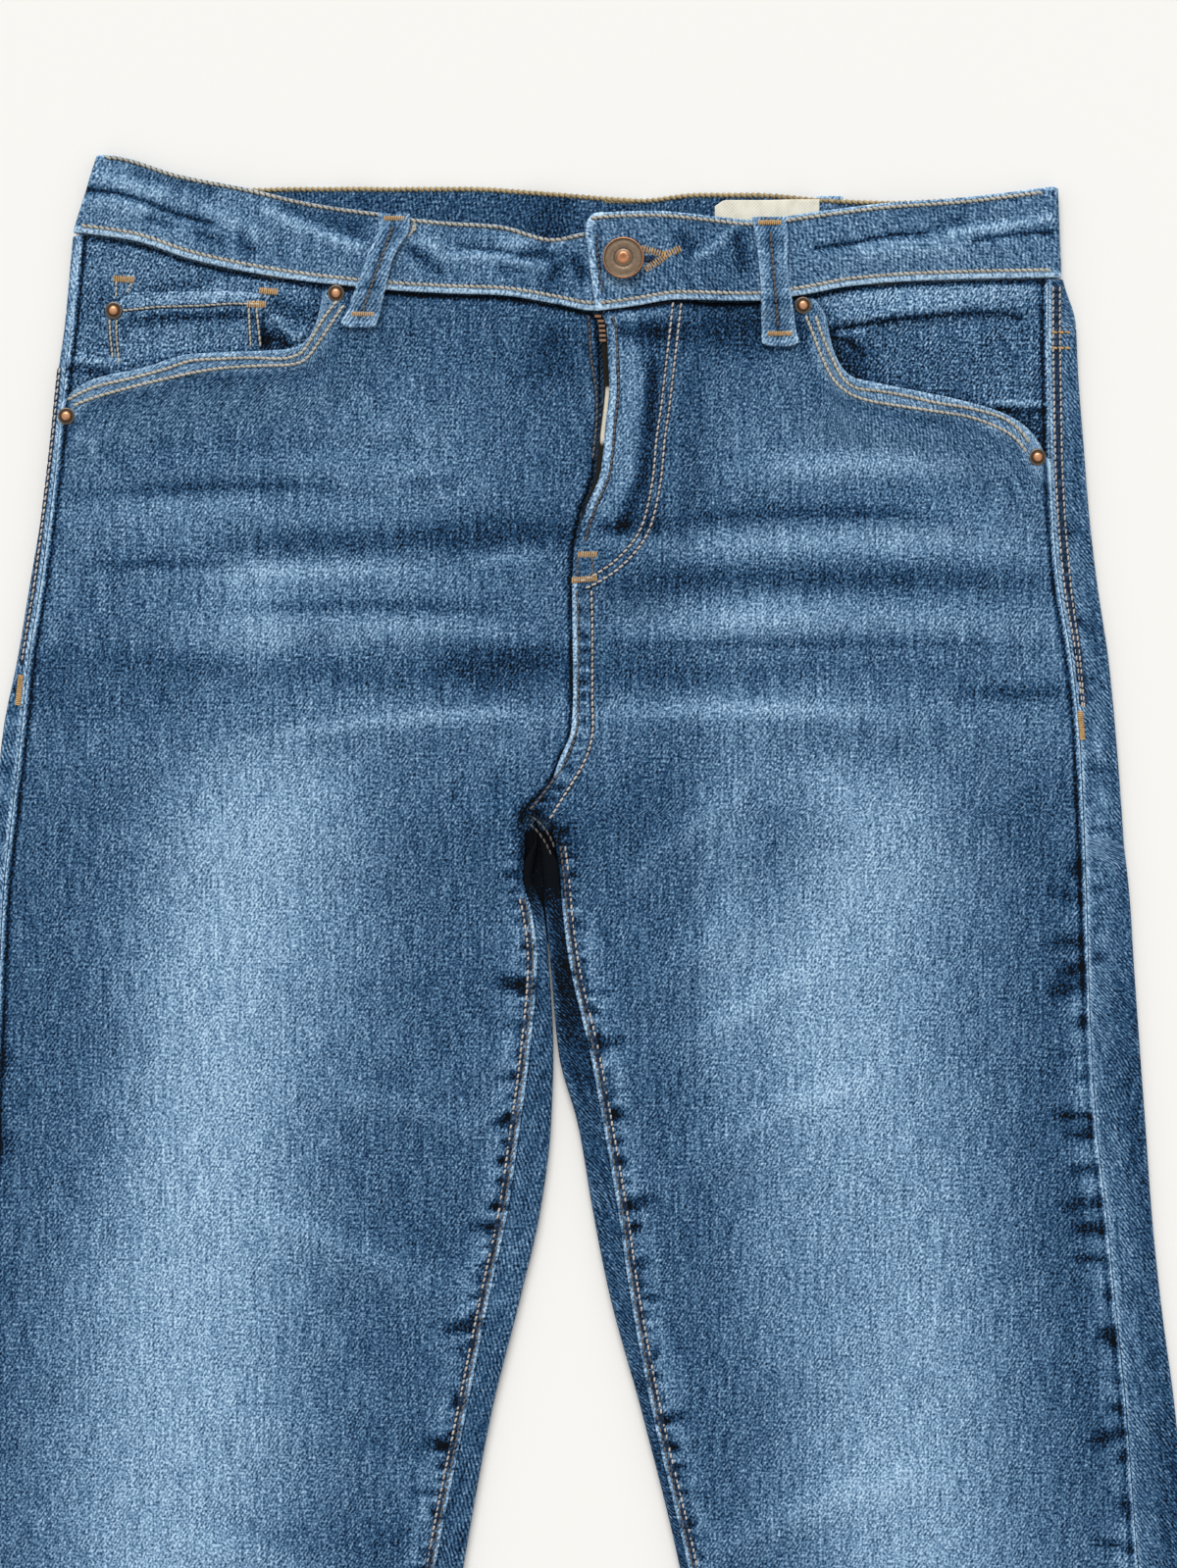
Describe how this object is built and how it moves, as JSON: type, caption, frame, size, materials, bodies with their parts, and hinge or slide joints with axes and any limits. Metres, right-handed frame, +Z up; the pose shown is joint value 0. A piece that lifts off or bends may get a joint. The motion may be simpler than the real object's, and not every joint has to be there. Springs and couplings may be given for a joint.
{
  "type": "slim fit jeans",
  "caption": "Slim fit jeans laid flat front up: waistband with tab and belt loops, open fly, curved hand pockets, coin pocket, two tapered legs with inseams turned forward.",
  "frame": {"origin": "middle of the laid garment's box, on the surface it lies on", "axes": "+Y from the hems to the waist along the garment, +X to the wearer's left, +Z up out of the front"},
  "size_m": [0.5572, 1.0478, 0.0153],
  "materials": {
    "denim_front": "washed mid-blue stretch denim, matt twill",
    "denim_back": "darker, less washed stretch denim, matt twill",
    "denim_trim": "washed denim of the trims, matt twill",
    "tape": "cream woven zip tape, matt",
    "label": "cream cotton label, bare, matt",
    "copper": "antique copper plating, satin"
  },
  "bodies": {
    "root": {"front_panel_right": "denim_front", "front_panel_left": "denim_front", "back_panel_right": "denim_back", "back_panel_left": "denim_back", "yoke_right": "denim_back", "yoke_left": "denim_back", "pocket_facing_right": "denim_trim", "pocket_facing_left": "denim_trim", "waistband": "denim_trim", "coin_pocket": "denim_trim", "fly_shield": "denim_trim", "zip_tape": "tape", "belt_loop_front_right": "denim_trim", "belt_loop_front_left": "denim_trim", "belt_loop_back_right": "denim_trim", "belt_loop_back_centre": "denim_trim", "belt_loop_back_left": "denim_trim", "back_pocket_right": "denim_back", "back_pocket_left": "denim_back", "size_label": "label", "button": "copper", "rivet_pocket_right_top": "copper", "rivet_pocket_right_side": "copper", "rivet_coin_pocket": "copper", "rivet_pocket_left_top": "copper", "rivet_pocket_left_side": "copper"}
  },
  "joints": []
}
